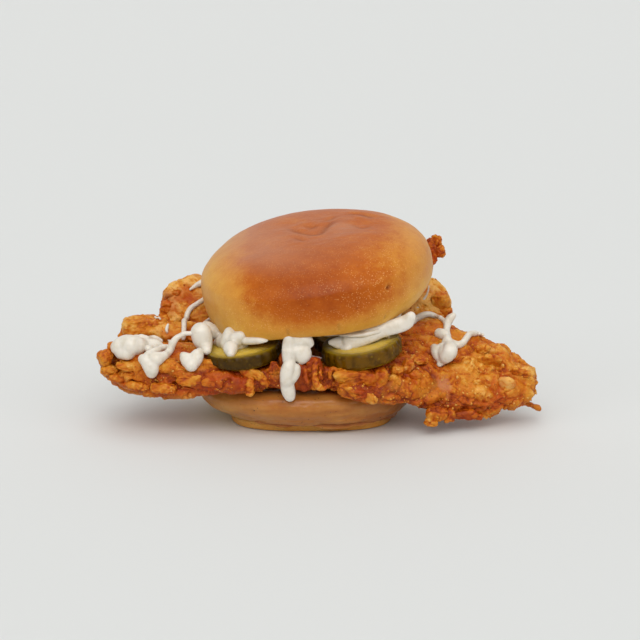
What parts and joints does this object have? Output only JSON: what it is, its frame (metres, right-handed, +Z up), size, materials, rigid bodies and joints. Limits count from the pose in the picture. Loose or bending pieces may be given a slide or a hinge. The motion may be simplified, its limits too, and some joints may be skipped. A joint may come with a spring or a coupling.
{
  "type": "chicken burger",
  "caption": "Fried chicken burger in a leaning glazed bun, with fillets wider than the bun, pickle slices and white cream sauce, resting on its flat base.",
  "frame": {"origin": "middle of the lower bun's flat base, on the surface it rests on", "axes": "+X along the fillets to the right as seen from the front, +Y to the back, +Z up"},
  "size_m": [0.1935, 0.1029, 0.0898],
  "materials": {
    "crown_bread": "baked, glossy golden brown",
    "heel_bread": "baked, matt golden",
    "tan_sauce": "wet, satin, peppered",
    "fried_crust": "rough, crisp, oily",
    "pickle_flesh": "wet, satin",
    "cream_sauce": "wet, satin"
  },
  "bodies": {
    "root": {"bun_crown": "crown_bread", "bun_heel": "heel_bread", "sauce_coat": "tan_sauce", "fillet_front": "fried_crust", "fillet_right": "fried_crust", "fillet_back": "fried_crust", "fillet_middle": "fried_crust", "pickle_left": "pickle_flesh", "pickle_right": "pickle_flesh", "pickle_back": "pickle_flesh", "cream_spread": "cream_sauce", "cream_tip": "cream_sauce", "cream_fold": "cream_sauce", "cream_heart": "cream_sauce", "cream_bulb": "cream_sauce", "cream_star": "cream_sauce", "cream_lump": "cream_sauce", "cream_drip": "cream_sauce", "cream_splash": "cream_sauce", "crisp_shard": "fried_crust", "crisp_curl": "fried_crust"}
  },
  "joints": []
}
